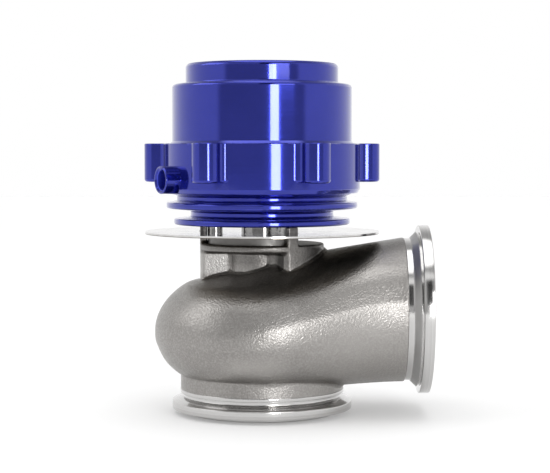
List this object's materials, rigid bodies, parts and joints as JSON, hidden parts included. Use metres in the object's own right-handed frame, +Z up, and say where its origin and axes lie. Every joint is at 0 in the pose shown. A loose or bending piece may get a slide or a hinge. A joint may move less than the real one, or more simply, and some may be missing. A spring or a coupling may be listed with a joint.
{
  "type": "turbo wastegate",
  "caption": "External turbo wastegate: a spring-closed poppet valve in a cast steel body with V-band inlet and outlet, lifted by a finned diaphragm actuator.",
  "frame": {"origin": "centre of the inlet mouth, on the valve axis, at the seat ring's bottom face", "axes": "+Z up the valve axis from inlet to actuator lid, +X out through the outlet flange, +Y to the rear"},
  "size_m": [0.1017, 0.0838, 0.1245],
  "materials": {
    "cast_steel": "bead-blasted casting",
    "machined_steel": "turned",
    "polished_steel": "polished",
    "heat_steel": "ground",
    "blue_aluminium": "gloss blue anodising",
    "plain_aluminium": "turned",
    "spring_steel": "shot-peened",
    "bronze": "reamed",
    "black_steel": "black oxide",
    "seal_rubber": "moulded",
    "diaphragm_rubber": "cloth-backed silicone"
  },
  "bodies": {
    "housing": {"valve_body": "cast_steel", "valve_seat_ring": "machined_steel", "stem_guide": "polished_steel", "guide_liner": "bronze", "guide_o_ring": "seal_rubber", "stem_seal": "seal_rubber", "seal_circlip": "spring_steel", "shield_land_ring": "heat_steel", "heat_shield": "polished_steel", "post_sleeves": "polished_steel", "mount_screws": "black_steel", "mount_screw_washers": "machined_steel", "actuator_base": "blue_aluminium", "actuator_lid": "blue_aluminium", "lid_screws": "black_steel", "diaphragm": "diaphragm_rubber", "upper_spring_seat": "plain_aluminium", "outer_spring": "spring_steel", "inner_spring": "spring_steel"},
    "valve": {"valve": "machined_steel", "diaphragm_clamp_plate": "plain_aluminium", "piston": "plain_aluminium", "piston_washer": "machined_steel", "stem_nut": "machined_steel"}
  },
  "joints": [
    {"name": "valve_lift", "type": "slide", "parent": "housing", "child": "valve", "axis": [0, 0, 1], "range_m": [0, 0.011], "stiffness_N_per_m": 7300, "springref_m": -0.02, "deforming": ["outer_spring", "inner_spring", "diaphragm"]}
  ]
}
